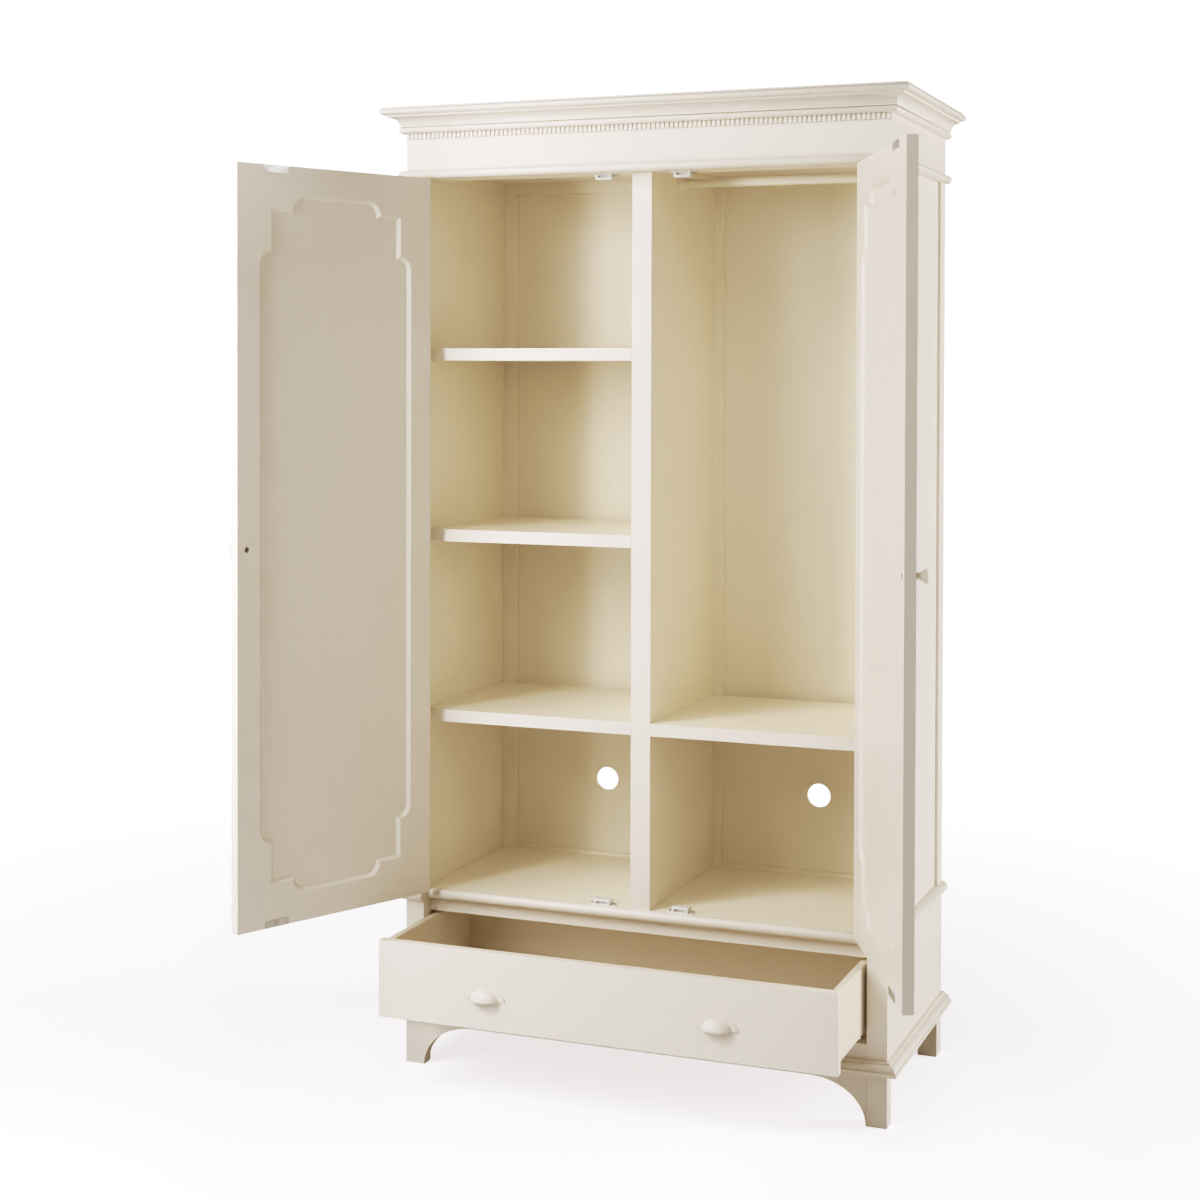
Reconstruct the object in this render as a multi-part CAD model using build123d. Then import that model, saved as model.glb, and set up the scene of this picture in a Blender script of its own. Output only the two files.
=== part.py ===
from build123d import *
import math
import os

# Painted armoire, all lengths in millimetres.
# X runs left to right as seen from the front, Y runs towards the back, Z is up.
# The origin is on the floor, mid-width, in the plane of the divider's front edge,
# which is also the middle of the overall outline with the doors open.

# --- carcass -------------------------------------------------------------
HALF_WIDTH = 503.0
FRONT = -22.0
BACK = 450.0
HEIGHT = 1950.0
POST_WIDTH = 40.0
FRONT_POST_DEPTH = 32.0
REAR_POST_DEPTH = 42.0
SIDE_OUTER = 497.0
WALL = 472.0
FLOOR_TOP = 357.0
BOARD = 20.0
OPENING_TOP = 1806.0
BASE_BOTTOM = 96.0
DIVIDER_HALF = 20.5
NOSING_FRONT = -12.0
TOP_RAIL_DEPTH = 45.0
CEILING = 1830.0
CEILING_BOARD = 18.0
ROOF_BOARD = 10.0
FRIEZE_BOARD = 22.0

# --- back ----------------------------------------------------------------
BACK_FRAME_FRONT = 386.0
BACK_FRAME_REAR = 408.0
BACK_STILE = 30.0
BACK_MID_STILE = 39.0
BACK_TOP_RAIL = 24.0
BACK_BOTTOM_RAIL = 8.0
BACK_PANEL_FRONT = 402.0
BACK_PANEL_EDGE = 6.0
CABLE_HOLE_RADIUS = 25.0
CABLE_HOLE_LEFT = (-228.0, 524.0)
CABLE_HOLE_RIGHT = (251.0, 524.0)
BACK_BASE_BOARD = 16.0

# --- shelves and hanging rail --------------------------------------------
SHELF_THICKNESS = 25.0
SHELF_TOPS = {"top": 1462.5, "middle": 1094.0, "low": 725.5}
NOTCH_SIDE = 436.5
NOTCH_DEPTH = 24.0
RAIL_RADIUS = 9.0
RAIL_Y = 165.0
RAIL_Z = 1797.0
SOCKET_RADIUS = 17.0
SOCKET_PLATE = 4.0
SOCKET_CUP = 14.0
SOCKET_CUP_RADIUS = 13.0
SOCKET_GAP = 0.3

# --- mouldings -----------------------------------------------------------
CORNICE_REACH = 42.0
CORNICE_BOTTOM = 1898.0
DENTIL_TOP = 1898.0
DENTIL_BOTTOM = 1886.5
DENTIL_BED = 2.0
DENTIL_DEPTH = 5.0
DENTIL_COUNT = 106
DENTIL_FILL = 0.58
ASTRAGAL_TOP = 1822.6
ASTRAGAL_REACH = 13.0
WAIST_BOTTOM = 335.0
WAIST_REACH = 12.0
BASE_MOULD_BOTTOM = 104.0
BASE_MOULD_TOP = 127.0
BASE_MOULD_REACH = 22.0

# --- apron and drawer bay ------------------------------------------------
APRON_TOP = 155.5
APRON_THICKNESS = 24.0
ARCH_HEIGHT = 84.0
ARCH_START = 352.0
ARCH_FOOT = 462.0
DRAWER_RAIL_BOTTOM = 309.0
DRAWER_RAIL_FRONT = 8.0
DRAWER_RAIL_DEPTH = 20.0
RUNNER_INNER = 443.0
RUNNER_BOTTOM = 152.0
RUNNER_TOP = 174.0
RUNNER_END = 400.0

# --- drawer (drawn pulled out by DRAWER_OUT) -----------------------------
DRAWER_OUT = 199.0
DRAWER_HALF = 461.0
DRAWER_FRONT_THICKNESS = 20.0
DRAWER_FRONT_BOTTOM = 157.0
DRAWER_FRONT_TOP = 307.0
DRAWER_SIDE_OUTER = 457.0
DRAWER_SIDE_THICKNESS = 14.0
DRAWER_SIDE_BOTTOM = 174.6
DRAWER_SIDE_TOP = 303.0
DRAWER_LENGTH = 374.0
DRAWER_BACK_THICKNESS = 12.0
DRAWER_BOTTOM_BASE = 181.0
DRAWER_BOTTOM_THICKNESS = 6.0
PULL_X = 233.0
PULL_Z = 214.5
PULL_HALF_WIDTH = 29.0
PULL_HEIGHT = 21.5
PULL_DEPTH = 20.0
PULL_WALL = 2.5
PULL_FLANGE_HALF_WIDTH = 42.0
PULL_FLANGE_HEIGHT = 24.0
PULL_FLANGE_THICKNESS = 2.2
PULL_SCREW_X = 35.0
PULL_SCREW_HEAD = 3.0

# --- doors (drawn standing open by DOOR_OPEN) ----------------------------
DOOR_OPEN = 114.5
DOOR_BOTTOM = 359.0
DOOR_TOP = 1804.5
DOOR_THICKNESS = 20.0
DOOR_HINGE_GAP = 1.0
DOOR_MEETING_GAP = 1.0
PANEL_HALF_WIDTH = 177.0
PANEL_HALF_HEIGHT = 664.0
PANEL_ARC = 26.0
PANEL_SHOULDER = 130.0
PANEL_STEP = 27.0
PANEL_EAR = 76.0
PANEL_INNER_SETBACK = 6.0
PANEL_OUTER_SETBACK = 6.0
PANEL_HOUSING = 12.0
PANEL_SLOPE = 7.0
KNOB_EDGE = 21.5
KNOB_Z = 1080.0
KNOB_LENGTH = 25.0
KNOB_HEAD_RADIUS = 13.5
KNOB_NECK_RADIUS = 6.0
KNOB_SCREW_RADIUS = 2.0
KNOB_SCREW_HEAD = 4.5
KNOB_SCREW_HEAD_HEIGHT = 2.2
KNOB_RECESS_RADIUS = 5.5
KNOB_RECESS_DEPTH = 7.0
STRIKE_CENTRE = 89.0
STRIKE_WIDTH = 54.0
STRIKE_HEIGHT = 14.0
STRIKE_THICKNESS = 1.2
STRIKE_INSET = 0.5
STRIKE_BOSS = 0.6
STRIKE_SCREW_REACH = 20.0
STRIKE_SCREW_HEAD = 3.4

# --- hinges and catches --------------------------------------------------
HINGE_X = 463.0
HINGE_Y = FRONT - 4.4
HINGE_HEIGHTS = (500.0, 1079.0, 1660.0)
HINGE_LENGTH = 70.0
KNUCKLE_RADIUS = 4.0
KNUCKLE_GAP = 0.3
PIN_RADIUS = 1.8
PIN_CLEARANCE = 0.06
PIN_HEAD = 2.4
LEAF_THICKNESS = 1.4
LEAF_CENTRE_GAP = 0.2
LEAF_DEPTH = 17.0
LEAF_RELIEF = 4.8
LEAF_POCKET_GAP = 0.05
CATCH_WIDTH = 34.0
CATCH_DEPTH = 22.0
CATCH_HEIGHT = 12.0
CATCH_EAR = 10.0
CATCH_EAR_THICKNESS = 2.0
CATCH_FRONT = 1.0
CATCH_CENTRE = 82.0
CATCH_SCREW_RADIUS = 1.6
CATCH_SCREW_HEAD = 3.6

os.makedirs("parts", exist_ok=True)


def block(x0, x1, y0, y1, z0, z1):
    """A box between two opposite corners."""
    size = (abs(x1 - x0), abs(y1 - y0), abs(z1 - z0))
    centre = ((x0 + x1) / 2, (y0 + y1) / 2, (z0 + z1) / 2)
    return Pos(*centre) * Box(*size)


def rod(start, direction, radius, length):
    """A cylinder that grows from start along direction."""
    plane = Plane(origin=start, z_dir=direction)
    return plane * Pos(0, 0, length / 2) * Cylinder(radius, length)


def mirrored(shape):
    """The same piece on the other side of the armoire."""
    return mirror(shape, about=Plane.YZ)


def save(shape, name):
    """Write one sub-part."""
    export_step(shape, "parts/" + name + ".step")


def save_pair(right_shape, stem):
    """Write a piece and its mirror image."""
    save(right_shape, stem + "_right")
    save(mirrored(right_shape), stem + "_left")


def front_zone(reach):
    """Everything that belongs to the front length of a mitred moulding."""
    outline = Polyline(
        (-HALF_WIDTH, FRONT),
        (HALF_WIDTH, FRONT),
        (HALF_WIDTH + reach, FRONT - reach),
        (-HALF_WIDTH - reach, FRONT - reach),
        close=True,
    )
    return extrude(make_face(outline), HEIGHT + reach)


def side_zone(reach):
    """Everything that belongs to the right length of a mitred moulding."""
    outline = Polyline(
        (HALF_WIDTH, FRONT),
        (HALF_WIDTH + reach, FRONT - reach),
        (HALF_WIDTH + reach, BACK),
        (HALF_WIDTH, BACK),
        close=True,
    )
    return extrude(make_face(outline), HEIGHT + reach)


def front_length(profile):
    """Run a profile of (outward, up) points along the front."""
    reach = 60.0
    plane = Plane(origin=(-HALF_WIDTH - reach, FRONT, 0), x_dir=(0, -1, 0), z_dir=(-1, 0, 0))
    face = make_face(plane * profile)
    run = extrude(face, 2 * (HALF_WIDTH + reach), dir=(1, 0, 0))
    return run & front_zone(reach)


def side_length(profile):
    """Run a profile of (outward, up) points along the right side."""
    reach = 60.0
    plane = Plane(origin=(HALF_WIDTH, FRONT - reach, 0), x_dir=(1, 0, 0), z_dir=(0, -1, 0))
    face = make_face(plane * profile)
    run = extrude(face, BACK - FRONT + reach, dir=(0, 1, 0))
    return run & side_zone(reach)


def cornice_profile():
    """Bead, cove, fillet and top ovolo."""
    bead_top = CORNICE_BOTTOM + 13.0
    cove_bottom = bead_top + 2.0
    cove_top = cove_bottom + 17.0
    cap_bottom = cove_top + 4.0
    cap_top = cap_bottom + 13.0
    return Wire(
        [
            Line((0, CORNICE_BOTTOM), (7, CORNICE_BOTTOM)),
            ThreePointArc((7, CORNICE_BOTTOM), (12.5, CORNICE_BOTTOM + 6.5), (7, bead_top)),
            Line((7, bead_top), (11, bead_top)),
            Line((11, bead_top), (11, cove_bottom)),
            ThreePointArc((11, cove_bottom), (15.5, cove_bottom + 11.5), (27, cove_top)),
            Line((27, cove_top), (30, cove_top)),
            Line((30, cove_top), (30, cap_bottom)),
            Line((30, cap_bottom), (35, cap_bottom)),
            ThreePointArc((35, cap_bottom), (CORNICE_REACH, cap_bottom + 7.5), (37, cap_top)),
            Line((37, cap_top), (37, HEIGHT)),
            Line((37, HEIGHT), (0, HEIGHT)),
            Line((0, HEIGHT), (0, CORNICE_BOTTOM)),
        ]
    )


def bead_profile(bottom, top, reach):
    """A rounded bead with a short flat above and below it."""
    flat = 2.0
    middle = (bottom + top) / 2
    return Wire(
        [
            Line((0, bottom), (flat, bottom)),
            ThreePointArc((flat, bottom), (reach, middle), (flat, top)),
            Line((flat, top), (0, top)),
            Line((0, top), (0, bottom)),
        ]
    )


def base_profile():
    """Small fillet, ovolo and square lower edge."""
    top = BASE_MOULD_TOP
    low = BASE_MOULD_BOTTOM
    reach = BASE_MOULD_REACH
    return Wire(
        [
            Line((0, low), (reach, low)),
            Line((reach, low), (reach, low + 7)),
            Line((reach, low + 7), (reach - 3, low + 7)),
            ThreePointArc((reach - 3, low + 7), (reach - 6, low + 15), (reach - 14, low + 19)),
            Line((reach - 14, low + 19), (reach - 14, top - 1.5)),
            Line((reach - 14, top - 1.5), (reach - 17, top)),
            Line((reach - 17, top), (0, top)),
            Line((0, top), (0, low)),
        ]
    )


# --- posts and sides -----------------------------------------------------
inner = HALF_WIDTH - POST_WIDTH
post_back = FRONT + FRONT_POST_DEPTH
rear_post_front = BACK - REAR_POST_DEPTH

front_post = block(inner, HALF_WIDTH, FRONT, post_back, 0, OPENING_TOP)
for hinge_z in HINGE_HEIGHTS:
    pocket_bottom = hinge_z - HINGE_LENGTH / 2
    pocket_top = hinge_z + HINGE_LENGTH / 2
    pocket_depth = LEAF_CENTRE_GAP + LEAF_THICKNESS + LEAF_POCKET_GAP
    pocket_back = HINGE_Y + LEAF_RELIEF + LEAF_DEPTH
    pocket = block(inner, inner + pocket_depth, FRONT, pocket_back, pocket_bottom, pocket_top)
    front_post = front_post - pocket
save_pair(front_post, "post_front")
save_pair(block(inner, HALF_WIDTH, rear_post_front, BACK, 0, OPENING_TOP), "post_rear")
save_pair(
    block(WALL, SIDE_OUTER, post_back, rear_post_front, FLOOR_TOP, OPENING_TOP), "side_panel"
)
save_pair(
    block(WALL, HALF_WIDTH, post_back, rear_post_front, BASE_BOTTOM, FLOOR_TOP), "side_base"
)

# --- floor board with rounded nosing -------------------------------------
floor_bottom = FLOOR_TOP - BOARD
nosing = block(-inner, inner, NOSING_FRONT, post_back, floor_bottom, FLOOR_TOP)
nosing_edges = nosing.edges().filter_by(Axis.X).group_by(Axis.Y)[0]
nosing = fillet(nosing_edges, BOARD / 2 - 0.5)
floor_body = block(-WALL, WALL, post_back, BACK_FRAME_REAR, floor_bottom, FLOOR_TOP)
save(nosing + floor_body, "floor_board")

# --- divider, top rail, ceiling, roof ------------------------------------
divider = block(-DIVIDER_HALF, DIVIDER_HALF, 0, BACK_FRAME_FRONT, FLOOR_TOP, OPENING_TOP)
divider_head = block(
    -DIVIDER_HALF, DIVIDER_HALF, TOP_RAIL_DEPTH, BACK_FRAME_FRONT, OPENING_TOP, CEILING
)
save(divider + divider_head, "divider")
save(block(-WALL, WALL, 0, TOP_RAIL_DEPTH, OPENING_TOP, CEILING), "top_rail")
save(
    block(-WALL, WALL, 0, BACK_FRAME_FRONT, CEILING, CEILING + CEILING_BOARD), "ceiling_board"
)
roof_bottom = HEIGHT - ROOF_BOARD
save(block(-HALF_WIDTH, HALF_WIDTH, FRONT, BACK, roof_bottom, HEIGHT), "roof_board")

# --- frieze --------------------------------------------------------------
save(
    block(-HALF_WIDTH, HALF_WIDTH, FRONT, FRONT + FRIEZE_BOARD, OPENING_TOP, roof_bottom),
    "frieze_front",
)
save_pair(
    block(WALL, HALF_WIDTH, FRONT + FRIEZE_BOARD, BACK, OPENING_TOP, roof_bottom), "frieze"
)

# --- cornice, dentils, astragal, waist bead, base moulding ----------------
save(front_length(cornice_profile()), "cornice_front")
save_pair(side_length(cornice_profile()), "cornice")

pitch = 2 * HALF_WIDTH / DENTIL_COUNT
comb = [(-HALF_WIDTH, FRONT), (-HALF_WIDTH, FRONT - DENTIL_BED)]
for tooth in range(DENTIL_COUNT):
    tooth_start = -HALF_WIDTH + pitch * (tooth + (1 - DENTIL_FILL) / 2)
    tooth_end = tooth_start + pitch * DENTIL_FILL
    comb.append((tooth_start, FRONT - DENTIL_BED))
    comb.append((tooth_start, FRONT - DENTIL_DEPTH))
    comb.append((tooth_end, FRONT - DENTIL_DEPTH))
    comb.append((tooth_end, FRONT - DENTIL_BED))
comb.append((HALF_WIDTH, FRONT - DENTIL_BED))
comb.append((HALF_WIDTH, FRONT))
comb_face = make_face(Polyline(*comb, close=True))
dentils = extrude(comb_face, DENTIL_TOP - DENTIL_BOTTOM, dir=(0, 0, 1))
save(Pos(0, 0, DENTIL_BOTTOM) * dentils, "dentil_strip")

astragal = bead_profile(OPENING_TOP, ASTRAGAL_TOP, ASTRAGAL_REACH)
astragal_side = side_length(astragal)
save(front_length(astragal) + astragal_side + mirrored(astragal_side), "astragal")

waist = bead_profile(WAIST_BOTTOM, FLOOR_TOP, WAIST_REACH)
waist_side = side_length(waist)
waist_keep = block(inner, HALF_WIDTH + 2 * WAIST_REACH, FRONT - 2 * WAIST_REACH, FRONT, 0, HEIGHT)
waist_return = front_length(waist) & waist_keep
save_pair(waist_side + waist_return, "waist_bead")

base_side = side_length(base_profile())
save(front_length(base_profile()) + base_side + mirrored(base_side), "base_moulding")

# --- apron with arched foot brackets -------------------------------------
apron = block(-inner, inner, FRONT, FRONT + APRON_THICKNESS, ARCH_HEIGHT, APRON_TOP)
bracket_square = block(
    ARCH_START, inner, FRONT, FRONT + APRON_THICKNESS, 0, ARCH_HEIGHT
)
ellipse_plane = Plane(origin=(ARCH_START, FRONT - 1, 0), x_dir=(1, 0, 0), z_dir=(0, 1, 0))
arch_face = make_face(ellipse_plane * Ellipse(ARCH_FOOT - ARCH_START, ARCH_HEIGHT).wire())
arch_cut = extrude(arch_face, APRON_THICKNESS + 2, dir=(0, 1, 0))
bracket = bracket_square - arch_cut
save(apron + bracket + mirrored(bracket), "apron")

# --- drawer bay ----------------------------------------------------------
rail_back = DRAWER_RAIL_FRONT + DRAWER_RAIL_DEPTH
save(
    block(-inner, inner, DRAWER_RAIL_FRONT, rail_back, DRAWER_RAIL_BOTTOM, floor_bottom)
    + block(-WALL, WALL, post_back, rail_back, DRAWER_RAIL_BOTTOM, floor_bottom),
    "drawer_rail",
)
runner = block(RUNNER_INNER, WALL, post_back, RUNNER_END, RUNNER_BOTTOM, RUNNER_TOP)
save_pair(runner, "drawer_runner")
back_base_front = BACK - BACK_BASE_BOARD - 4
save(
    block(-inner, inner, back_base_front, back_base_front + BACK_BASE_BOARD, BASE_BOTTOM, FLOOR_TOP),
    "back_base_board",
)

# --- back frame and panels -----------------------------------------------
back_frame = block(-WALL, WALL, BACK_FRAME_FRONT, BACK_FRAME_REAR, FLOOR_TOP, roof_bottom)
sight_bottom = FLOOR_TOP + BACK_BOTTOM_RAIL
sight_top = CEILING - BACK_TOP_RAIL
bays = {
    "left": (-WALL + BACK_STILE, -BACK_MID_STILE, CABLE_HOLE_LEFT),
    "right": (BACK_MID_STILE, WALL - BACK_STILE, CABLE_HOLE_RIGHT),
}
for side, (bay_start, bay_end, hole) in bays.items():
    window = block(
        bay_start, bay_end, BACK_FRAME_FRONT, BACK_FRAME_REAR, sight_bottom, sight_top
    )
    rebate = block(
        bay_start - BACK_PANEL_EDGE,
        bay_end + BACK_PANEL_EDGE,
        BACK_PANEL_FRONT,
        BACK_FRAME_REAR,
        sight_bottom - BACK_PANEL_EDGE,
        sight_top + BACK_PANEL_EDGE,
    )
    hole_start = (hole[0], BACK_PANEL_FRONT - 1, hole[1])
    hole_cut = rod(hole_start, (0, 1, 0), CABLE_HOLE_RADIUS, 10)
    back_frame = back_frame - window - rebate
    save(rebate - hole_cut, "back_panel_" + side)
save(back_frame, "back_frame")

# --- shelves -------------------------------------------------------------
for level, shelf_top in SHELF_TOPS.items():
    shelf_bottom = shelf_top - SHELF_THICKNESS
    shelf = block(DIVIDER_HALF, WALL, 0, BACK_FRAME_FRONT, shelf_bottom, shelf_top)
    shelf = shelf - block(NOTCH_SIDE, WALL, 0, NOTCH_DEPTH, shelf_bottom, shelf_top)
    save(mirrored(shelf), "shelf_left_" + level)
    if level == "low":
        save(shelf, "shelf_right")

# --- hanging rail --------------------------------------------------------
rail_start = DIVIDER_HALF + SOCKET_PLATE + SOCKET_GAP
rail_length = WALL - SOCKET_PLATE - SOCKET_GAP - rail_start
save(rod((rail_start, RAIL_Y, RAIL_Z), (1, 0, 0), RAIL_RADIUS, rail_length), "hanging_rail")
socket_plate = rod((0, 0, 0), (1, 0, 0), SOCKET_RADIUS, SOCKET_PLATE)
socket_cup = rod((0, 0, 0), (1, 0, 0), SOCKET_CUP_RADIUS, SOCKET_CUP)
socket_bore = rod((SOCKET_PLATE, 0, 0), (1, 0, 0), RAIL_RADIUS + SOCKET_GAP, SOCKET_CUP)
socket = socket_plate + socket_cup - socket_bore
socket_left = Pos(DIVIDER_HALF, RAIL_Y, RAIL_Z) * socket
socket_right = Pos(WALL, RAIL_Y, RAIL_Z) * mirrored(socket)
save(Compound([socket_left, socket_right]), "rail_sockets")

# --- catches -------------------------------------------------------------
catch = block(-CATCH_WIDTH / 2, CATCH_WIDTH / 2, 0, CATCH_DEPTH, 0, CATCH_HEIGHT)
top_edges = catch.edges().filter_by(Axis.X).group_by(Axis.Z)[-1]
catch = fillet(top_edges, 3)
ear_reach = CATCH_WIDTH / 2 + CATCH_EAR
catch = catch + block(-ear_reach, ear_reach, 4, CATCH_DEPTH - 4, 0, CATCH_EAR_THICKNESS)
roller_slot = block(-CATCH_WIDTH / 2 + 6, CATCH_WIDTH / 2 - 6, 0, 5, 3, CATCH_HEIGHT - 4)
catch = catch - roller_slot
screw_reach = CATCH_WIDTH / 2 + CATCH_EAR / 2
screw = rod((0, 0, 0), (0, 0, 1), CATCH_SCREW_RADIUS, CATCH_EAR_THICKNESS + 0.4)
screw_head = rod((0, 0, CATCH_EAR_THICKNESS), (0, 0, 1), CATCH_SCREW_HEAD, 1.8)
screw_slot = block(-CATCH_SCREW_HEAD, CATCH_SCREW_HEAD, -0.4, 0.4, CATCH_EAR_THICKNESS + 1, 9)
screw = screw + screw_head - screw_slot
catch_screws = []
catch_bodies = []
for end in (-1, 1):
    ear_x = end * screw_reach
    catch = catch - rod((ear_x, CATCH_DEPTH / 2, -1), (0, 0, 1), CATCH_SCREW_RADIUS + 0.1, 5)
for side in (-1, 1):
    floor_place = Pos(side * CATCH_CENTRE, CATCH_FRONT, FLOOR_TOP)
    ceiling_place = Pos(side * CATCH_CENTRE, CATCH_FRONT, OPENING_TOP) * Rot(0, 180, 0)
    for place in (floor_place, ceiling_place):
        catch_bodies.append(place * catch)
        for end in (-1, 1):
            catch_screws.append(place * Pos(end * screw_reach, CATCH_DEPTH / 2, 0) * screw)
save(Compound(catch_bodies), "door_catches")
save(Compound(catch_screws), "catch_screws")

# --- hinges, drawn for the right door in its closed place ----------------
third = HINGE_LENGTH / 3
relief_front = HINGE_Y + LEAF_RELIEF
fixed_leaves = []
moving_leaves = []
for hinge_z in HINGE_HEIGHTS:
    low = hinge_z - HINGE_LENGTH / 2
    high = hinge_z + HINGE_LENGTH / 2
    pivot = (HINGE_X, HINGE_Y)
    outer_x = HINGE_X + LEAF_CENTRE_GAP
    inner_x = HINGE_X - LEAF_CENTRE_GAP
    leaf_back = relief_front + LEAF_DEPTH
    fixed = block(outer_x, outer_x + LEAF_THICKNESS, relief_front, leaf_back, low, high)
    pin = rod((*pivot, low - PIN_HEAD), (0, 0, 1), PIN_RADIUS, HINGE_LENGTH + 2 * PIN_HEAD)
    for span in ((low, low + third), (high - third, high)):
        knuckle = rod((*pivot, span[0]), (0, 0, 1), KNUCKLE_RADIUS, third)
        neck = block(
            outer_x, outer_x + LEAF_THICKNESS, HINGE_Y, relief_front, span[0], span[1]
        )
        fixed = fixed + knuckle + neck
    for cap_z in (low - PIN_HEAD, high):
        fixed = fixed + rod((*pivot, cap_z), (0, 0, 1), PIN_RADIUS + 1.2, PIN_HEAD)
    fixed_leaves.append(fixed + pin)
    mid_low = low + third + KNUCKLE_GAP
    mid_length = third - 2 * KNUCKLE_GAP
    moving = block(inner_x - LEAF_THICKNESS, inner_x, relief_front, leaf_back, low, high)
    moving = moving + block(
        inner_x - LEAF_THICKNESS, inner_x, HINGE_Y, relief_front, mid_low, mid_low + mid_length
    )
    moving = moving + rod((*pivot, mid_low), (0, 0, 1), KNUCKLE_RADIUS, mid_length)
    moving = moving - rod((*pivot, mid_low), (0, 0, 1), PIN_RADIUS + PIN_CLEARANCE, mid_length)
    moving_leaves.append(moving)
save_pair(Compound(fixed_leaves), "hinge_post_leaves")

# --- door, drawn closed on the right and then swung open ------------------
door_hinge_edge = HINGE_X - DOOR_HINGE_GAP
door_free_edge = DOOR_MEETING_GAP
door_rear = FRONT + DOOR_THICKNESS
door_centre_x = (door_hinge_edge + door_free_edge) / 2
door_centre_z = (DOOR_BOTTOM + DOOR_TOP) / 2


def panel_outline():
    """The stepped panel outline, square inner corners with rounded shoulders."""
    u = PANEL_HALF_WIDTH
    v = PANEL_HALF_HEIGHT
    r = PANEL_ARC
    shoulder = v - PANEL_SHOULDER
    ear = u - PANEL_EAR
    diag = r * math.sqrt(0.5)
    quarter = [
        ("line", (u, shoulder)),
        ("arc", (u - r + diag, shoulder + diag), (u - r, shoulder + r)),
        ("line", (u - r, v - PANEL_STEP)),
        ("line", (ear, v - PANEL_STEP)),
        ("arc", (ear - r + diag, v - r + diag), (ear - r, v)),
    ]
    edges = []
    point = (u, 0)
    for step in quarter:
        if step[0] == "line":
            edges.append(Line(point, step[1]))
        else:
            edges.append(ThreePointArc(point, step[1], step[2]))
        point = step[-1]
    edges.append(Line(point, (0, v)))
    right = list(edges)
    for edge in right:
        edges.append(mirror(edge, about=Plane.YZ))
    upper = list(edges)
    for edge in upper:
        edges.append(mirror(edge, about=Plane.XZ))
    return Wire.combine(edges)[0]


def panel_recess(face_y, depth):
    """The slope-sided recess from a face of the closed door, depth along Y, to the panel."""
    origin = (door_centre_x, face_y, door_centre_z)
    plane = Plane(origin=origin, x_dir=(1, 0, 0), z_dir=(0, -1, 0))
    mouth = offset(panel_outline(), PANEL_SLOPE / 2, kind=Kind.INTERSECTION)
    lean = math.degrees(math.atan2(PANEL_SLOPE, abs(depth)))
    inward = (0, math.copysign(1, depth), 0)
    return extrude(make_face(plane * mouth), abs(depth), dir=inward, taper=lean)


door_slab = block(door_free_edge, door_hinge_edge, FRONT, door_rear, DOOR_BOTTOM, DOOR_TOP)
panel_front = FRONT + PANEL_OUTER_SETBACK
panel_rear = door_rear - PANEL_INNER_SETBACK
housing = block(
    door_centre_x - PANEL_HALF_WIDTH - PANEL_HOUSING,
    door_centre_x + PANEL_HALF_WIDTH + PANEL_HOUSING,
    panel_front,
    panel_rear,
    door_centre_z - PANEL_HALF_HEIGHT - PANEL_HOUSING,
    door_centre_z + PANEL_HALF_HEIGHT + PANEL_HOUSING,
)
outer_recess = panel_recess(FRONT, PANEL_OUTER_SETBACK)
inner_recess = panel_recess(door_rear, -PANEL_INNER_SETBACK)
door_frame = door_slab - outer_recess - inner_recess - housing
leaf_pocket_front = door_hinge_edge - (LEAF_CENTRE_GAP + LEAF_THICKNESS + LEAF_POCKET_GAP)
leaf_pocket_front = leaf_pocket_front + DOOR_HINGE_GAP
for hinge_z in HINGE_HEIGHTS:
    pocket = block(
        leaf_pocket_front,
        door_hinge_edge,
        FRONT,
        relief_front + LEAF_DEPTH,
        hinge_z - HINGE_LENGTH / 2,
        hinge_z + HINGE_LENGTH / 2,
    )
    door_frame = door_frame - pocket
knob_x = door_free_edge + KNOB_EDGE
screw_bore = KNOB_SCREW_RADIUS + 0.1
door_frame = door_frame - rod((knob_x, FRONT, KNOB_Z), (0, 1, 0), screw_bore, DOOR_THICKNESS)
screw_seat = door_rear - KNOB_RECESS_DEPTH
screw_recess = rod((knob_x, screw_seat, KNOB_Z), (0, 1, 0), KNOB_RECESS_RADIUS, DOOR_THICKNESS)
door_frame = door_frame - screw_recess

knob_flare = Spline(
    (KNOB_NECK_RADIUS, 6),
    (KNOB_NECK_RADIUS + 1.2, 11),
    (KNOB_HEAD_RADIUS - 3, 16.5),
    (KNOB_HEAD_RADIUS, 20),
)
knob_crown = Spline(
    (KNOB_HEAD_RADIUS, 20),
    (KNOB_HEAD_RADIUS - 1, 22.6),
    (KNOB_HEAD_RADIUS / 2, KNOB_LENGTH - 0.6),
    (0, KNOB_LENGTH),
)
knob_foot = Polyline((0, 0), (8, 0), (8, 1.5), (KNOB_NECK_RADIUS, 3), (KNOB_NECK_RADIUS, 6))
knob_axis = Line((0, KNOB_LENGTH), (0, 0))
knob_edges = [*knob_foot.edges(), knob_flare, knob_crown, knob_axis]
knob_face = make_face(Wire.combine(knob_edges)[0])
knob_solid = revolve(knob_face, Axis.Y)
knob_bore = rod((0, 0, 0), (0, 1, 0), KNOB_SCREW_RADIUS + 0.1, 12)
knob_solid = knob_solid - knob_bore
knob = Pos(knob_x, FRONT, KNOB_Z) * Rot(180, 0, 0) * knob_solid

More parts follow.
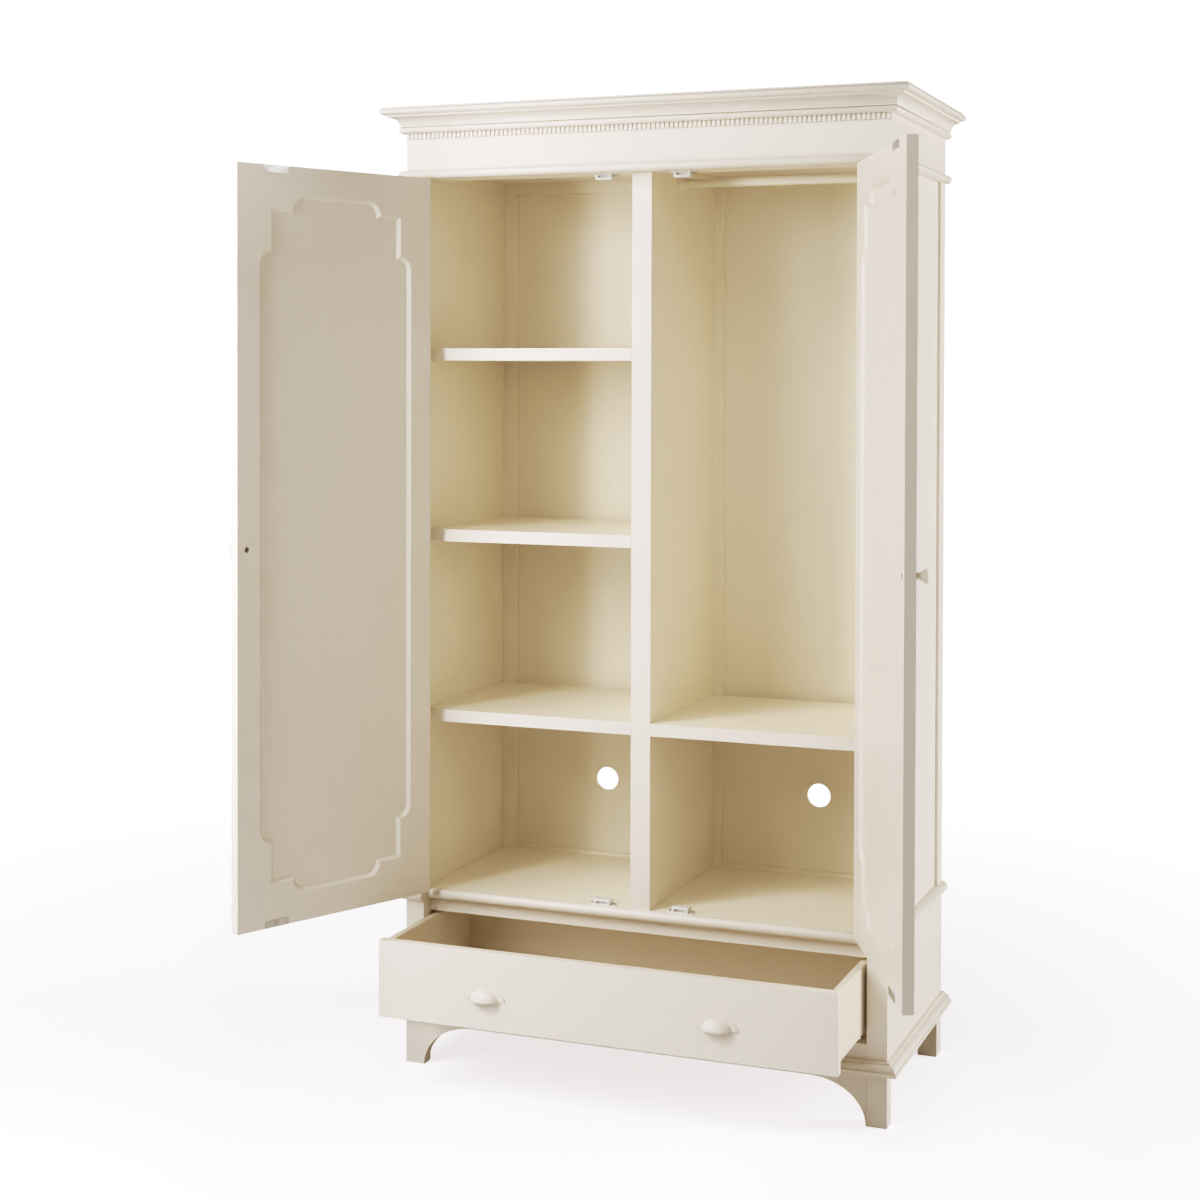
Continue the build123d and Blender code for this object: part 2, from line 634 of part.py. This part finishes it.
screw_tip = FRONT - 11
screw_length = screw_seat - screw_tip
knob_screw = rod((knob_x, screw_tip, KNOB_Z), (0, 1, 0), KNOB_SCREW_RADIUS, screw_length)
knob_screw_head = rod(
    (knob_x, screw_seat, KNOB_Z), (0, 1, 0), KNOB_SCREW_HEAD, KNOB_SCREW_HEAD_HEIGHT
)
knob_screw_slot = block(
    knob_x - KNOB_SCREW_HEAD,
    knob_x + KNOB_SCREW_HEAD,
    screw_seat + KNOB_SCREW_HEAD_HEIGHT - 1,
    door_rear,
    KNOB_Z - 0.5,
    KNOB_Z + 0.5,
)
knob_screw = knob_screw + knob_screw_head - knob_screw_slot

strike_face = door_rear + STRIKE_THICKNESS
strikes = []
for strike_bottom in (DOOR_BOTTOM + STRIKE_INSET, DOOR_TOP - STRIKE_INSET - STRIKE_HEIGHT):
    strike = block(
        STRIKE_CENTRE - STRIKE_WIDTH / 2,
        STRIKE_CENTRE + STRIKE_WIDTH / 2,
        door_rear,
        strike_face,
        strike_bottom,
        strike_bottom + STRIKE_HEIGHT,
    )
    strike = fillet(strike.edges().filter_by(Axis.Y), 3)
    strike_middle = strike_bottom + STRIKE_HEIGHT / 2
    strike = strike + block(
        STRIKE_CENTRE - 11,
        STRIKE_CENTRE + 11,
        strike_face,
        strike_face + STRIKE_BOSS,
        strike_middle - 3,
        strike_middle + 3,
    )
    for end in (-1, 1):
        head_x = STRIKE_CENTRE + end * STRIKE_SCREW_REACH
        head_place = (head_x, strike_face, strike_middle)
        head = rod(head_place, (0, 1, 0), STRIKE_SCREW_HEAD, STRIKE_BOSS)
        slot = block(
            head_x - STRIKE_SCREW_HEAD,
            head_x + STRIKE_SCREW_HEAD,
            strike_face,
            strike_face + 1,
            strike_middle - 0.5,
            strike_middle + 0.5,
        )
        strike = strike + (head - slot)
    strikes.append(strike)

door_parts = {
    "frame": door_frame,
    "panel": housing,
    "knob": knob,
    "knob_screw": knob_screw,
    "strikes": Compound(strikes),
    "hinge_leaves": Compound(moving_leaves),
}
hinge_axis = Axis((HINGE_X, HINGE_Y, 0), (0, 0, 1))
for part_name, closed_shape in door_parts.items():
    opened = closed_shape.rotate(hinge_axis, DOOR_OPEN)
    save_pair(opened, "door_" + part_name)

# --- drawer, drawn closed and then pulled out ----------------------------
drawer_place = Pos(0, -DRAWER_OUT, 0)
drawer_face_back = FRONT + DRAWER_FRONT_THICKNESS
drawer_end = drawer_face_back + DRAWER_LENGTH
side_inner = DRAWER_SIDE_OUTER - DRAWER_SIDE_THICKNESS

drawer_front = block(
    -DRAWER_HALF, DRAWER_HALF, FRONT, drawer_face_back, DRAWER_FRONT_BOTTOM, DRAWER_FRONT_TOP
)
front_edges = drawer_front.edges().group_by(Axis.Y)[0]
drawer_front = fillet(front_edges, 1.2)
drawer_side = block(
    side_inner,
    DRAWER_SIDE_OUTER,
    drawer_face_back,
    drawer_end,
    DRAWER_SIDE_BOTTOM,
    DRAWER_SIDE_TOP,
)
drawer_back = block(
    -side_inner,
    side_inner,
    drawer_end - DRAWER_BACK_THICKNESS,
    drawer_end,
    DRAWER_BOTTOM_BASE + DRAWER_BOTTOM_THICKNESS,
    DRAWER_SIDE_TOP - 6,
)
drawer_bottom = block(
    -side_inner,
    side_inner,
    drawer_face_back,
    drawer_end,
    DRAWER_BOTTOM_BASE,
    DRAWER_BOTTOM_BASE + DRAWER_BOTTOM_THICKNESS,
)


def dome(half_width, depth, height):
    """The quarter of an ellipsoid that stands out from the drawer front."""
    ball = scale(Sphere(1), by=(half_width, depth, height))
    return ball & block(-half_width - 1, half_width + 1, -depth - 1, 0, 0, height + 1)


cup = dome(PULL_HALF_WIDTH, PULL_DEPTH, PULL_HEIGHT) - dome(
    PULL_HALF_WIDTH - PULL_WALL, PULL_DEPTH - PULL_WALL, PULL_HEIGHT - PULL_WALL
)
flange_plane = Plane(origin=(0, 0, 0), x_dir=(1, 0, 0), z_dir=(0, -1, 0))
flange_face = make_face(
    flange_plane * Ellipse(PULL_FLANGE_HALF_WIDTH, PULL_FLANGE_HEIGHT).wire()
)
mouth_face = make_face(
    flange_plane * Ellipse(PULL_HALF_WIDTH - PULL_WALL, PULL_HEIGHT - PULL_WALL).wire()
)
flange = extrude(flange_face, PULL_FLANGE_THICKNESS, dir=(0, -1, 0))
flange = flange - extrude(mouth_face, PULL_FLANGE_THICKNESS, dir=(0, -1, 0))
flange_reach = PULL_FLANGE_HALF_WIDTH + 1
flange = flange & block(-flange_reach, flange_reach, -3, 0, 0, PULL_FLANGE_HEIGHT + 1)
cup = cup + flange
for end in (-1, 1):
    screw_place = (end * PULL_SCREW_X, -PULL_FLANGE_THICKNESS, PULL_SCREW_HEAD + 2)
    cup = cup + rod(screw_place, (0, -1, 0), PULL_SCREW_HEAD, 1)
pulls = []
for side in (-1, 1):
    pulls.append(Pos(side * PULL_X, FRONT, PULL_Z) * cup)

drawer_parts = {
    "drawer_front": drawer_front,
    "drawer_side_right": drawer_side,
    "drawer_side_left": mirrored(drawer_side),
    "drawer_back": drawer_back,
    "drawer_bottom": drawer_bottom,
    "drawer_pulls": Compound(pulls),
}
for part_name, closed_shape in drawer_parts.items():
    save(drawer_place * closed_shape, part_name)
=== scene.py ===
import math

import bpy
from mathutils import Matrix, Vector

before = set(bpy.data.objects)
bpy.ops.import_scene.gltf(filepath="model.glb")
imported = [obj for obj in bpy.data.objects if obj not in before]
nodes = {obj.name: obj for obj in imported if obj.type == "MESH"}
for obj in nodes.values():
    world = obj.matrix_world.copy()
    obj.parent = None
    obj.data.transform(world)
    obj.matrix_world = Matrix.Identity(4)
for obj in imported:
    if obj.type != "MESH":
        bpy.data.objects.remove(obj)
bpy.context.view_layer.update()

# --- camera (metres and degrees; the centre is the lens axis in image points) ---
CAMERA_PLACE = (1.3918, -3.7042, 1.4139)
CAMERA_YAW = 21.37
CAMERA_PITCH = 1.006
CAMERA_ROLL = -0.154
FOCAL_POINTS = 2019.5
CENTRE_X = 613.95
CENTRE_Y = 408.13
IMAGE_POINTS = 1200.0
SENSOR_MM = 36.0

# --- colours (linear red, green, blue, alpha) -----------------------------------


def rgb(r, g, b):
    return (r, g, b, 1.0)


def scaled(colour, factor):
    """The colour times a factor, held at 1."""
    return rgb(*(min(1, part * factor) for part in colour[:3]))


IVORY = rgb(0.85, 0.795, 0.715)
IVORY_DEEP = rgb(0.825, 0.765, 0.68)
# Lighter, warmer cream inside the bays: painted bounce light between the cream faces, not a
# second paint colour.
BAY_BOUNCE_CREAM = rgb(0.93, 0.87, 0.75)
BAY_BOUNCE_CREAM_DEEP = rgb(0.91, 0.845, 0.72)
# Drawer lining: the ivory paint made a little browner and darker, partly painted shade for the
# inside of the drawer.
LINING = rgb(0.82, 0.75, 0.64)
LINING_DEEP = rgb(0.79, 0.71, 0.59)
UNDERCOAT = rgb(0.74, 0.66, 0.54)
BOARD = rgb(0.62, 0.50, 0.36)
BOARD_DEEP = rgb(0.50, 0.39, 0.26)
ZINC = rgb(0.62, 0.61, 0.59)
ZINC_DEEP = rgb(0.48, 0.47, 0.45)
SCREW = rgb(0.13, 0.12, 0.11)
SCREW_DEEP = rgb(0.08, 0.075, 0.07)
METAL_EDGE = rgb(0.86, 0.85, 0.83)
MOULDED = rgb(0.80, 0.79, 0.76)
MOULDED_DEEP = rgb(0.74, 0.73, 0.70)
FLOOR_LIGHT = rgb(0.81, 0.81, 0.81)
FLOOR_DEEP = rgb(0.79, 0.79, 0.79)
WHITE = rgb(1, 1, 1)
COOL = (0.985, 1.0, 1.04)
NEUTRAL = (0.99, 1.0, 1.03)

# --- the space inside the bays (metres, in the CAD frame) -----------------------
BAY_HALF_WIDTH = 0.4728
BAY_FRONT = 0.0008
BAY_BOTTOM = 0.3565
BAY_TOP = 1.83

# --- surfaces -------------------------------------------------------------------
SATIN = 0.36
EGGSHELL = 0.5
WEAR = 0.32
DOOR_EDGE_RADIUS = 0.0009
EDGE_WELD = 0.00002
EDGE_WIDTH = 0.0008
EDGE_SEGMENTS = 2
EDGE_ANGLE = 40

# --- floor, world and lights ----------------------------------------------------
FLOOR_HALF = 30.0
FLOOR_ROUGHNESS = 0.9
GLOW_NEAR = 0.8
GLOW_FAR = 3.5
GLOW_AT_NEAR = 0.85
GLOW_AT_FAR = 1.8
SEEN_SKY = 2.2
LIT_SKY = 0.03
LOOK_AT_OBJECT = (0, 0, 1.0)
LOOK_INTO_BAYS = (0, 0.2, 1.0)
# name, place, target, size, watts, colour
LIGHTS = (
    ("near_left", (-0.95, -1.15, 1.32), LOOK_INTO_BAYS, (0.35, 1.7), 16.5, COOL),
    ("left", (-2.2, -3.14, 4.21), LOOK_AT_OBJECT, (1.8, 1.8), 85.0, COOL),
    ("right", (2.2, -3.14, 4.21), LOOK_AT_OBJECT, (1.8, 1.8), 23.0, COOL),
    ("front", (0.3, -2.0, 1.9), LOOK_INTO_BAYS, (0.5, 0.9), 5.4, COOL),
    ("high_left", (-1.0, -2.8, 2.3), LOOK_INTO_BAYS, (0.5, 1.0), 9.6, COOL),
    ("side", (4.65, 1.69, 1.7), LOOK_AT_OBJECT, (1.8, 1.8), 195.0, NEUTRAL),
)

# --- tone curves: scene brightness, then the red, green and blue shown ----------
TONE_TOP = 1.8
TONES = (
    (0.08, 0.094, 0.073, 0.046),
    (0.16, 0.186, 0.148, 0.102),
    (0.28, 0.318, 0.268, 0.217),
    (0.42, 0.462, 0.428, 0.397),
    (0.58, 0.596, 0.580, 0.557),
    (0.75, 0.715, 0.699, 0.685),
    (0.95, 0.813, 0.791, 0.788),
    (1.25, 0.905, 0.885, 0.888),
)


def add_camera():
    yaw, pitch, roll = (math.radians(a) for a in (CAMERA_YAW, CAMERA_PITCH, CAMERA_ROLL))
    forward = Vector((
        -math.sin(yaw) * math.cos(pitch),
        math.cos(yaw) * math.cos(pitch),
        -math.sin(pitch),
    ))
    level_right = Vector((math.cos(yaw), math.sin(yaw), 0))
    level_down = forward.cross(level_right)
    right = math.cos(roll) * level_right + math.sin(roll) * level_down
    down = -math.sin(roll) * level_right + math.cos(roll) * level_down
    data = bpy.data.cameras.new("camera")
    data.sensor_width = SENSOR_MM
    data.lens = FOCAL_POINTS * SENSOR_MM / IMAGE_POINTS
    data.shift_x = (IMAGE_POINTS / 2 - CENTRE_X) / IMAGE_POINTS
    data.shift_y = (CENTRE_Y - IMAGE_POINTS / 2) / IMAGE_POINTS
    camera = bpy.data.objects.new("camera", data)
    turn = Matrix((right, -down, -forward)).transposed()
    camera.matrix_world = Matrix.Translation(CAMERA_PLACE) @ turn.to_4x4()
    bpy.context.scene.collection.objects.link(camera)
    bpy.context.scene.camera = camera


class Tree:
    """A small builder for one material's nodes."""

    def __init__(self, name):
        self.material = bpy.data.materials.new(name)
        self.material.use_nodes = True
        self.nodes = self.material.node_tree.nodes
        self.links = self.material.node_tree.links
        self.nodes.clear()
        self.shader = self.add("ShaderNodeBsdfPrincipled")
        out = self.add("ShaderNodeOutputMaterial")
        self.links.new(self.shader.outputs["BSDF"], out.inputs["Surface"])
        self.place = self.add("ShaderNodeTexCoord").outputs["Object"]

    def add(self, kind, **settings):
        node = self.nodes.new(kind)
        for key, value in settings.items():
            setattr(node, key, value)
        return node

    def put(self, socket, value):
        """Link a node's output to the socket, or set a constant on it."""
        if hasattr(value, "is_output"):
            self.links.new(value, socket)
        else:
            socket.default_value = value

    def stretched(self, scale):
        node = self.add("ShaderNodeMapping")
        self.put(node.inputs["Vector"], self.place)
        node.inputs["Scale"].default_value = scale
        return node.outputs["Vector"]

    def noise(self, vector, scale, detail=3.0, rough=0.55, warp=0.0):
        node = self.add("ShaderNodeTexNoise")
        self.put(node.inputs["Vector"], vector)
        node.inputs["Scale"].default_value = scale
        node.inputs["Detail"].default_value = detail
        node.inputs["Roughness"].default_value = rough
        node.inputs["Distortion"].default_value = warp
        return node.outputs["Fac"]

    def ranged(self, value, low, high, to_low=0.0, to_high=1.0):
        node = self.add("ShaderNodeMapRange")
        self.put(node.inputs["Value"], value)
        node.inputs["From Min"].default_value = low
        node.inputs["From Max"].default_value = high
        node.inputs["To Min"].default_value = to_low
        node.inputs["To Max"].default_value = to_high
        return node.outputs["Result"]

    def maths(self, kind, a, b=0.0):
        node = self.add("ShaderNodeMath", operation=kind)
        self.put(node.inputs[0], a)
        self.put(node.inputs[1], b)
        return node.outputs[0]

    def mixed(self, factor, a, b):
        node = self.add("ShaderNodeMix", data_type="RGBA")
        self.put(node.inputs["Factor"], factor)
        self.put(node.inputs["A"], a)
        self.put(node.inputs["B"], b)
        return node.outputs["Result"]

    def rounded_normal(self, radius):
        bevel = self.add("ShaderNodeBevel", samples=4)
        bevel.inputs["Radius"].default_value = radius
        return bevel.outputs["Normal"]

    def edges(self, radius):
        """1 along sharp edges and 0 on flat faces."""
        rounded = self.rounded_normal(radius)
        normal = self.add("ShaderNodeNewGeometry").outputs["Normal"]
        dot = self.add("ShaderNodeVectorMath", operation="DOT_PRODUCT")
        self.put(dot.inputs[0], rounded)
        self.put(dot.inputs[1], normal)
        return self.ranged(dot.outputs["Value"], 0.995, 0.85)

    def bumped(self, height, strength, distance, soft_edge=0.0):
        """Relief on the surface, over edges rounded to soft_edge when it is given."""
        node = self.add("ShaderNodeBump")
        if soft_edge:
            self.put(node.inputs["Normal"], self.rounded_normal(soft_edge))
        node.inputs["Strength"].default_value = strength
        node.inputs["Distance"].default_value = distance
        self.put(node.inputs["Height"], height)
        self.put(self.shader.inputs["Normal"], node.outputs["Normal"])

    def inside_bays(self):
        """1 on the faces inside the cabinet's bays and 0 on every other face."""
        split = self.add("ShaderNodeSeparateXYZ")
        self.put(split.inputs[0], self.place)
        width = self.maths("ABSOLUTE", split.outputs["X"])
        across = self.maths("LESS_THAN", width, BAY_HALF_WIDTH)
        behind = self.maths("GREATER_THAN", split.outputs["Y"], BAY_FRONT)
        above = self.maths("GREATER_THAN", split.outputs["Z"], BAY_BOTTOM)
        below = self.maths("LESS_THAN", split.outputs["Z"], BAY_TOP)
        level = self.maths("MULTIPLY", above, below)
        return self.maths("MULTIPLY", self.maths("MULTIPLY", across, behind), level)


def grain_scale(axis, along, across):
    return tuple(along if letter == axis else across for letter in "XYZ")


def paint(name, axis, gloss=SATIN, tones=(IVORY, IVORY_DEEP), soft_edge=0.0):
    """Brushed paint on timber whose grain runs along axis, with painted bounce light (a
    lighter, warmer cream) on the faces inside the bays.
    """
    t = Tree(name)
    broad = t.noise(t.place, 1.7, 2.0)
    brush = t.noise(t.stretched(grain_scale(axis, 2.2, 95.0)), 3.0, 4.0, 0.6, 0.2)
    grain = t.noise(t.stretched(grain_scale(axis, 1.2, 30.0)), 4.0, 5.0, 0.65, 0.8)
    fine = t.noise(t.place, 900.0, 2.0)
    rub = t.noise(t.place, 26.0, 4.0, 0.7)
    edge = t.edges(0.0018)

    broad_tone = t.ranged(broad, 0.3, 0.7, 0.0, 0.55)
    tone = t.maths("ADD", broad_tone, t.ranged(brush, 0.3, 0.7, 0.0, 0.45))
    outside = t.mixed(tone, *tones)
    # Inside the bays the ivory gives way to a lighter, warmer cream: painted bounce light.
    base = t.mixed(t.inside_bays(), outside, t.mixed(tone, BAY_BOUNCE_CREAM, BAY_BOUNCE_CREAM_DEEP))
    worn = t.maths("MULTIPLY", edge, t.ranged(rub, 0.42, 0.62))
    base = t.mixed(t.maths("MULTIPLY", worn, WEAR), base, UNDERCOAT)
    t.put(t.shader.inputs["Base Color"], base)

    rough = t.ranged(brush, 0.25, 0.75, gloss - 0.05, gloss + 0.09)
    rough = t.maths("SUBTRACT", rough, t.maths("MULTIPLY", edge, 0.06))
    t.put(t.shader.inputs["Roughness"], rough)

    relief = t.maths("MULTIPLY", t.ranged(brush, 0.2, 0.8), 0.55)
    relief = t.maths("ADD", relief, t.maths("MULTIPLY", t.ranged(grain, 0.2, 0.8), 0.75))
    relief = t.maths("ADD", relief, t.maths("MULTIPLY", fine, 0.22))
    t.bumped(relief, 0.22, 0.0006, soft_edge)
    return t.material


def metal(name, light, deep, rough=0.3):
    """Plated steel with a fine brush and duller patches."""
    t = Tree(name)
    brush = t.noise(t.stretched((40.0, 40.0, 900.0)), 1.0, 3.0, 0.6)
    patch = t.noise(t.place, 60.0, 3.0)
    edge = t.edges(0.0006)
    base = t.mixed(t.ranged(patch, 0.35, 0.65), light, deep)
    base = t.mixed(t.maths("MULTIPLY", edge, 0.5), base, METAL_EDGE)
    t.put(t.shader.inputs["Base Color"], base)
    t.shader.inputs["Metallic"].default_value = 1.0
    t.put(t.shader.inputs["Roughness"], t.ranged(brush, 0.3, 0.7, rough - 0.06, rough + 0.14))
    t.bumped(brush, 0.15, 0.0002)
    return t.material


def timber(name, axis, light, deep, rough=0.6):
    """Bare timber with open grain along axis."""
    t = Tree(name)
    bands = t.noise(t.stretched(grain_scale(axis, 0.9, 16.0)), 2.4, 4.0, 0.6, 1.4)
    pores = t.noise(t.stretched(grain_scale(axis, 14.0, 420.0)), 1.6, 3.0, 0.7)
    broad = t.noise(t.place, 3.0, 2.0)
    edge = t.edges(0.0012)
    base = t.mixed(t.ranged(bands, 0.35, 0.65), light, deep)
    base = t.mixed(t.ranged(pores, 0.58, 0.72, 0.0, 0.4), base, scaled(deep, 0.6))
    base = t.mixed(t.ranged(broad, 0.3, 0.7, 0.0, 0.2), base, scaled(deep, 0.85))
    base = t.mixed(t.maths("MULTIPLY", edge, 0.35), base, scaled(light, 1.15))
    t.put(t.shader.inputs["Base Color"], base)
    t.put(t.shader.inputs["Roughness"], t.ranged(bands, 0.3, 0.7, rough - 0.07, rough + 0.08))
    t.bumped(t.maths("ADD", pores, t.maths("MULTIPLY", bands, 0.6)), 0.3, 0.0004)
    return t.material


def plastic(name, light, deep):
    """Moulded plastic with a faint stipple."""
    t = Tree(name)
    stipple = t.noise(t.place, 1400.0, 2.0)
    patch = t.noise(t.place, 45.0, 3.0)
    edge = t.edges(0.0005)
    base = t.mixed(t.ranged(patch, 0.3, 0.7), light, deep)
    base = t.mixed(t.maths("MULTIPLY", edge, 0.4), base, scaled(deep, 0.8))
    t.put(t.shader.inputs["Base Color"], base)
    t.put(t.shader.inputs["Roughness"], t.ranged(patch, 0.3, 0.7, 0.32, 0.44))
    t.bumped(stipple, 0.12, 0.0002)
    return t.material


add_camera()

# --- which node has which finish ------------------------------------------------
PAINT_X = (
    "apron", "astragal", "base_moulding", "cornice_front", "dentil_strip", "drawer_front",
    "drawer_pulls", "drawer_rail", "frieze_front", "top_rail", "roof_board", "hanging_rail",
    "rail_sockets", "floor_board", "ceiling_board", "shelf_left_low", "shelf_left_middle",
    "shelf_left_top", "shelf_right",
)
PAINT_Y = (
    "cornice_left", "cornice_right", "frieze_left", "frieze_right", "waist_bead_left",
    "waist_bead_right",
)
PAINT_Z = (
    "door_panel_left", "door_panel_right", "post_front_left", "post_front_right",
    "post_rear_left", "post_rear_right", "side_base_left", "side_base_right",
    "side_panel_left", "side_panel_right", "door_knob_left", "door_knob_right",
    "back_frame", "back_panel_left", "back_panel_right", "divider",
)
DOOR_FRAMES = ("door_frame_left", "door_frame_right")
LINING_Y = ("drawer_side_left", "drawer_side_right")
LINING_X = ("drawer_back", "drawer_bottom")
RAW = ("back_base_board", "drawer_runner_left", "drawer_runner_right")
PLATED = (
    "catch_screws", "door_hinge_leaves_left", "door_hinge_leaves_right", "door_strikes_left",
    "door_strikes_right", "hinge_post_leaves_left", "hinge_post_leaves_right",
)
DARK_SCREWS = ("door_knob_screw_left", "door_knob_screw_right")

lining_tones = (LINING, LINING_DEEP)
door_paint = paint("ivory_paint_door", "Z", soft_edge=DOOR_EDGE_RADIUS)
finish_of = {}
for names, material in (
    (PAINT_X, paint("ivory_paint_x", "X")),
    (PAINT_Y, paint("ivory_paint_y", "Y")),
    (PAINT_Z, paint("ivory_paint_z", "Z")),
    (DOOR_FRAMES, door_paint),
    (LINING_Y, paint("drawer_lining_y", "Y", EGGSHELL, lining_tones)),
    (LINING_X, paint("drawer_lining_x", "X", EGGSHELL, lining_tones)),
    (RAW, timber("inner_board", "X", BOARD, BOARD_DEEP)),
    (PLATED, metal("plated_steel", ZINC, ZINC_DEEP)),
    (DARK_SCREWS, metal("plated_steel_dark", SCREW, SCREW_DEEP)),
    (("door_catches",), plastic("catch_plastic", MOULDED, MOULDED_DEEP)),
):
    for name in names:
        finish_of[name] = material

for name, node in nodes.items():
    node.data.materials.clear()
    node.data.materials.append(finish_of[name])
    # A bevel on the door frames' long triangles leaves a dark sliver; their paint rounds them.
    if finish_of[name] is door_paint:
        continue
    weld = node.modifiers.new("weld", "WELD")
    weld.merge_threshold = EDGE_WELD
    bevel = node.modifiers.new("soft_edge", "BEVEL")
    bevel.width = EDGE_WIDTH
    bevel.segments = EDGE_SEGMENTS
    bevel.limit_method = "ANGLE"
    bevel.angle_limit = math.radians(EDGE_ANGLE)
    bevel.harden_normals = True


def add_floor():
    """A plain white floor that glows towards its far end, where only the camera sees it."""
    mesh = bpy.data.meshes.new("floor")
    corners = [(-FLOOR_HALF, -FLOOR_HALF, 0), (FLOOR_HALF, -FLOOR_HALF, 0)]
    corners += [(FLOOR_HALF, FLOOR_HALF, 0), (-FLOOR_HALF, FLOOR_HALF, 0)]
    mesh.from_pydata(corners, [], [(0, 1, 2, 3)])
    floor = bpy.data.objects.new("floor", mesh)
    bpy.context.scene.collection.objects.link(floor)
    t = Tree("floor_white")
    patchy = t.ranged(t.noise(t.place, 0.8), 0.3, 0.7)
    t.put(t.shader.inputs["Base Color"], t.mixed(patchy, FLOOR_LIGHT, FLOOR_DEEP))
    t.shader.inputs["Roughness"].default_value = FLOOR_ROUGHNESS
    away = t.add("ShaderNodeVectorMath", operation="LENGTH")
    t.put(away.inputs[0], t.place)
    seen = t.add("ShaderNodeLightPath").outputs["Is Camera Ray"]
    distance = away.outputs["Value"]
    strength = t.ranged(distance, GLOW_NEAR, GLOW_FAR, GLOW_AT_NEAR, GLOW_AT_FAR)
    t.shader.inputs["Emission Color"].default_value = WHITE
    t.put(t.shader.inputs["Emission Strength"], t.maths("MULTIPLY", strength, seen))
    mesh.materials.append(t.material)


def area_light(name, place, target, size, power, colour):
    data = bpy.data.lights.new(name, "AREA")
    data.shape = "RECTANGLE"
    data.size, data.size_y = size
    data.energy = power
    data.color = colour
    lamp = bpy.data.objects.new(name, data)
    lamp.location = place
    lamp.visible_camera = False
    aim = Vector(target) - Vector(place)
    lamp.rotation_euler = aim.to_track_quat("-Z", "Y").to_euler()
    bpy.context.scene.collection.objects.link(lamp)


def studio_world(seen_strength, lit_strength):
    """White behind the object, and a faint even light on it."""
    world = bpy.data.worlds.new("studio")
    world.use_nodes = True
    tree = world.node_tree
    tree.nodes.clear()
    path = tree.nodes.new("ShaderNodeLightPath")
    both = tree.nodes.new("ShaderNodeMixShader")
    out = tree.nodes.new("ShaderNodeOutputWorld")
    tree.links.new(path.outputs["Is Camera Ray"], both.inputs[0])
    for slot, strength in ((1, lit_strength), (2, seen_strength)):
        sky = tree.nodes.new("ShaderNodeBackground")
        sky.inputs["Color"].default_value = WHITE
        sky.inputs["Strength"].default_value = strength
        tree.links.new(sky.outputs[0], both.inputs[slot])
    tree.links.new(both.outputs[0], out.inputs["Surface"])
    bpy.context.scene.world = world


def tone_curves():
    """Standard view with soft highlights and slightly warmer dark tones."""
    view = bpy.context.scene.view_settings
    view.view_transform = "Standard"
    view.use_curve_mapping = True
    mapping = view.curve_mapping
    mapping.white_level = (TONE_TOP, TONE_TOP, TONE_TOP)
    for channel in range(3):
        for row in TONES:
            point = mapping.curves[channel].points.new(row[0] / TONE_TOP, row[channel + 1])
            point.handle_type = "AUTO_CLAMPED"
    mapping.update()


add_floor()
for light in LIGHTS:
    area_light(*light)
studio_world(SEEN_SKY, LIT_SKY)
tone_curves()
